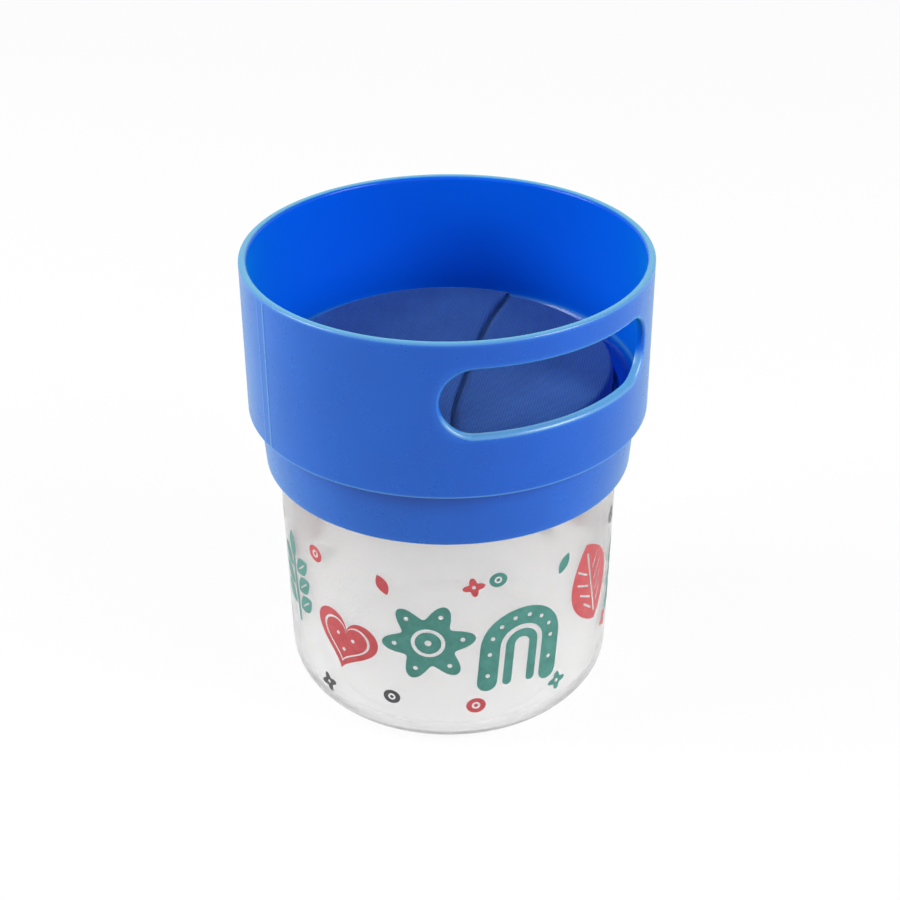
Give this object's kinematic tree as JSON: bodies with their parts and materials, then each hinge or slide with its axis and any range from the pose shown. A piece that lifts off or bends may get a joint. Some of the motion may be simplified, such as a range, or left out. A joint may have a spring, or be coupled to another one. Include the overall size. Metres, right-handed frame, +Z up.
{
  "type": "toddler snack container",
  "caption": "Frosted cup with a screw-on guard collar that has a finger slot, and a lid of overlapping stretch-fabric flaps that a hand goes through.",
  "frame": {"origin": "centre of the cup's foot, on the surface that the container stands on", "axes": "+Z up along the cup's axis, -Y towards the front of the picture, +X to its right; the finger slot faces 33 degrees to the right of the front"},
  "size_m": [0.108, 0.108, 0.1295],
  "materials": {
    "frosted_plastic": "frosted translucent polypropylene",
    "blue_plastic": "satin moulded polypropylene",
    "stretch_fabric": "fine-ribbed knitted stretch fabric",
    "teal_ink": "printed ink film",
    "coral_ink": "printed ink film",
    "grey_ink": "printed ink film"
  },
  "bodies": {
    "cup": {"cup": "frosted_plastic"},
    "lid": {"lid_hoop": "blue_plastic", "clamp_ring": "blue_plastic"},
    "collar": {"collar": "blue_plastic"},
    "upper_flap": {"upper_flap": "stretch_fabric"},
    "lower_flap": {"lower_flap": "stretch_fabric"}
  },
  "joints": [
    {"name": "lid_rise", "type": "slide", "parent": "cup", "child": "lid", "axis": [0, 0, 1], "range_m": [0, 0.02]},
    {"name": "collar_turn", "type": "hinge", "parent": "lid", "child": "collar", "pos_m": [0, 0, 0.08], "axis": [0, 0, 1], "range_deg": [0, 300]},
    {"name": "lower_flap_press", "type": "slide", "parent": "lid", "child": "lower_flap", "axis": [0, 0, -1], "range_m": [0, 0.03], "stiffness_N_per_m": 60, "springref_m": -0.005, "deforming": ["lower_flap"]},
    {"name": "upper_flap_lift", "type": "slide", "parent": "lid", "child": "upper_flap", "axis": [0, 0, 1], "range_m": [0, 0.012], "stiffness_N_per_m": 60, "springref_m": -0.005, "deforming": ["upper_flap"]}
  ],
  "couplings": [
    {"joint": "lid_rise", "follows": "collar_turn", "m_per_rad": 0.0038197}
  ]
}
